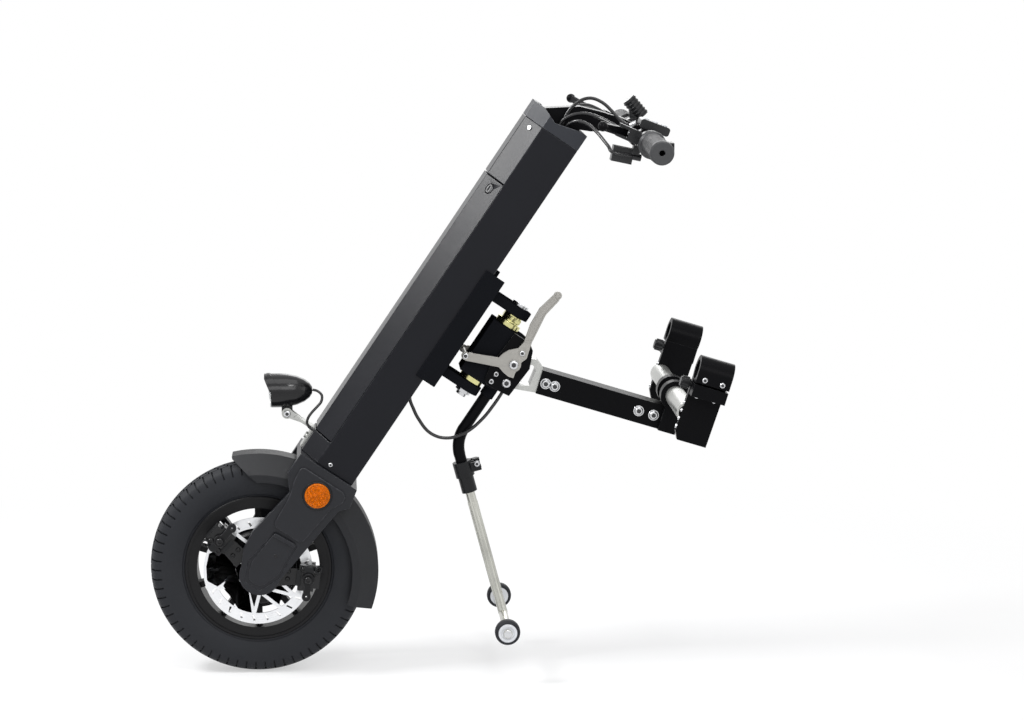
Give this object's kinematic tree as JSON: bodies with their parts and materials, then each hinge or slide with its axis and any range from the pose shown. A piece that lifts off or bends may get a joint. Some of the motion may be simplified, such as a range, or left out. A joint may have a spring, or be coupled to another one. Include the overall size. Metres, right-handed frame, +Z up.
{
  "type": "wheelchair_power_assist",
  "caption": "Clip-on front drive for a wheelchair: hub-motor wheel, leaning battery column with handlebar, steering head, docking arm with two frame clamps and roller stand",
  "frame": {"origin": "middle of the part's plan box, on the floor under it", "axes": "+X to the rear, +Y to the rider's right, +Z up; the wheel is in front at -X and the frame clamps are at the rear"},
  "size_m": [0.841, 0.564, 0.8515],
  "materials": {
    "tyre_rubber": "matt black rubber with block tread",
    "cast_black": "satin black paint on cast alloy",
    "disc_steel": "bright ground steel",
    "bright_steel": "bright steel",
    "column_paint": "satin blue-black paint",
    "fork_paint": "satin charcoal paint",
    "black_paint": "black powder coat",
    "guard_plastic": "matt dark grey plastic",
    "black_plastic": "matt black plastic",
    "gloss_black": "gloss black plastic",
    "amber": "clear amber reflector",
    "zinc": "yellow zinc plating",
    "cast_grey": "grey cast alloy",
    "alloy": "bright alloy",
    "rubber": "dark grey rubber",
    "lens": "clear lens",
    "cell_wrap": "blue shrink wrap",
    "pad": "brake lining",
    "key_white": "pale keys",
    "cable_black": "black cable sheath"
  },
  "bodies": {
    "dock": {"steering_head": "black_paint", "head_bearings": "zinc", "side_plates": "black_paint", "dock_bolts": "bright_steel", "arm_bar": "black_paint", "arm_yoke": "alloy", "tube_saddle": "black_paint", "cross_tube": "alloy", "frame_clamp_left": "black_paint", "frame_clamp_right": "black_paint", "stand_tube": "black_paint", "stand_collar": "black_plastic", "dock_cable": "cable_black"},
    "column": {"column_shell": "column_paint", "column_top_cap": "guard_plastic", "controller": "alloy", "front_fasteners": "bright_steel", "fork_crown": "fork_paint", "fork_leg_left": "fork_paint", "fork_leg_right": "fork_paint", "mudguard": "guard_plastic", "reflector_bezels": "black_plastic", "reflector_lenses": "amber", "calipers": "cast_black", "brake_pads": "pad", "wheel_axle": "bright_steel", "steering_bracket": "black_paint", "steering_bolt": "bright_steel", "headlight_bracket": "alloy", "headlight_cable": "cable_black", "handlebar_stem": "black_paint", "handlebar": "black_paint", "grips": "rubber", "control_clamps": "black_plastic", "switch_pod": "black_plastic", "control_cables": "cable_black"},
    "front_wheel": {"tyre": "tyre_rubber", "wheel_rim": "cast_black", "hub_motor": "cast_black", "brake_disc": "disc_steel"},
    "battery": {"battery_case": "column_paint", "battery_cells": "cell_wrap"},
    "lock": {"battery_lock": "bright_steel"},
    "headlight": {"headlight_body": "gloss_black", "headlight_lens": "lens"},
    "lever_left": {"brake_lever_left": "black_paint"},
    "lever_right": {"brake_lever_right": "black_paint"},
    "cam_front": {"caliper_arm_front": "cast_black"},
    "cam_rear": {"caliper_arm_rear": "cast_black"},
    "throttle": {"throttle_lever": "black_plastic"},
    "button_front": {"pod_button_front": "key_white"},
    "button_middle": {"pod_button_middle": "key_white"},
    "button_rear": {"pod_button_rear": "key_white"},
    "latch": {"latch_lever": "cast_grey"},
    "leg": {"stand_leg": "alloy"},
    "wheel_left": {"roller_left": "rubber"},
    "wheel_right": {"roller_right": "rubber"},
    "collar_lever": {"stand_collar_lever": "black_plastic"},
    "knob_left": {"clamp_knob_left": "black_plastic"},
    "knob_right": {"clamp_knob_right": "black_plastic"}
  },
  "joints": [
    {"name": "steering", "type": "hinge", "parent": "dock", "child": "column", "pos_m": [0.08163, 0, 0.47638], "axis": [0.5592, 0, 0.829], "range_deg": [-35, 35], "deforming": ["dock_cable"]},
    {"name": "wheel_spin", "type": "hinge", "parent": "column", "child": "front_wheel", "pos_m": [-0.26151, 0, 0.159], "axis": [0, 1, 0], "continuous": true},
    {"name": "battery_tilt", "type": "hinge", "parent": "column", "child": "battery", "pos_m": [-0.17051, 0, 0.36902], "axis": [0, -1, 0], "range_deg": [0, 12]},
    {"name": "battery_lock_turn", "type": "hinge", "parent": "battery", "child": "lock", "pos_m": [0.07921, -0.0405, 0.72046], "axis": [-0.5862, -0.7071, 0.3954], "range_deg": [0, 90]},
    {"name": "headlight_tilt", "type": "hinge", "parent": "column", "child": "headlight", "pos_m": [-0.21651, 0, 0.3875], "axis": [0, 1, 0], "range_deg": [-20, 20], "deforming": ["headlight_cable"]},
    {"name": "brake_lever_left", "type": "hinge", "parent": "column", "child": "lever_left", "pos_m": [0.26353, -0.12, 0.80929], "axis": [0.4067, 0, 0.9135], "range_deg": [0, 18], "stiffness_Nm_per_rad": 2, "springref_deg": -5.16},
    {"name": "brake_lever_right", "type": "hinge", "parent": "column", "child": "lever_right", "pos_m": [0.26353, 0.12, 0.80929], "axis": [-0.4067, 0, -0.9135], "range_deg": [0, 18], "stiffness_Nm_per_rad": 2, "springref_deg": -5.16},
    {"name": "caliper_arm_front", "type": "hinge", "parent": "column", "child": "cam_front", "pos_m": [-0.31563, -0.06, 0.20947], "axis": [0, 1, 0], "range_deg": [0, 20]},
    {"name": "caliper_arm_rear", "type": "hinge", "parent": "column", "child": "cam_rear", "pos_m": [-0.18806, -0.06, 0.14998], "axis": [0, 1, 0], "range_deg": [0, 20]},
    {"name": "throttle", "type": "hinge", "parent": "column", "child": "throttle", "pos_m": [0.3019, -0.152, 0.7922], "axis": [0, 1, 0], "range_deg": [0, 30], "stiffness_Nm_per_rad": 0.4, "springref_deg": -9.74},
    {"name": "button_front", "type": "slide", "parent": "column", "child": "button_front", "axis": [-0.3584, 0, -0.9336], "range_m": [0, 0.0012], "stiffness_N_per_m": 800, "springref_m": -0.001},
    {"name": "button_middle", "type": "slide", "parent": "column", "child": "button_middle", "axis": [-0.3584, 0, -0.9336], "range_m": [0, 0.0012], "stiffness_N_per_m": 800, "springref_m": -0.001},
    {"name": "button_rear", "type": "slide", "parent": "column", "child": "button_rear", "axis": [-0.3584, 0, -0.9336], "range_m": [0, 0.0012], "stiffness_N_per_m": 800, "springref_m": -0.001},
    {"name": "latch", "type": "hinge", "parent": "dock", "child": "latch", "pos_m": [0.11483, 0, 0.46122], "axis": [0, 1, 0], "range_deg": [0, 40]},
    {"name": "stand_extend", "type": "slide", "parent": "dock", "child": "leg", "axis": [-0.2569, 0, 0.9664], "range_m": [-0.035, 0.012]},
    {"name": "roller_left", "type": "hinge", "parent": "leg", "child": "wheel_left", "pos_m": [0.10149, -0.109, 0.0785], "axis": [0, 1, 0], "continuous": true},
    {"name": "roller_right", "type": "hinge", "parent": "leg", "child": "wheel_right", "pos_m": [0.10149, 0.109, 0.0785], "axis": [0, 1, 0], "continuous": true},
    {"name": "collar_lever", "type": "hinge", "parent": "dock", "child": "collar_lever", "pos_m": [0.06299, 0.014, 0.30508], "axis": [0.2569, 0, -0.9664], "range_deg": [0, 80]},
    {"name": "clamp_knob_left", "type": "hinge", "parent": "dock", "child": "knob_left", "pos_m": [0.35954, -0.165, 0.45316], "axis": [0.9563, 0, -0.2924], "continuous": true},
    {"name": "clamp_knob_right", "type": "hinge", "parent": "dock", "child": "knob_right", "pos_m": [0.35954, 0.165, 0.45316], "axis": [0.9563, 0, -0.2924], "continuous": true}
  ],
  "couplings": [
    {"joint": "caliper_arm_front", "follows": "brake_lever_left", "ratio": 1.1},
    {"joint": "caliper_arm_rear", "follows": "brake_lever_right", "ratio": 1.1}
  ]
}
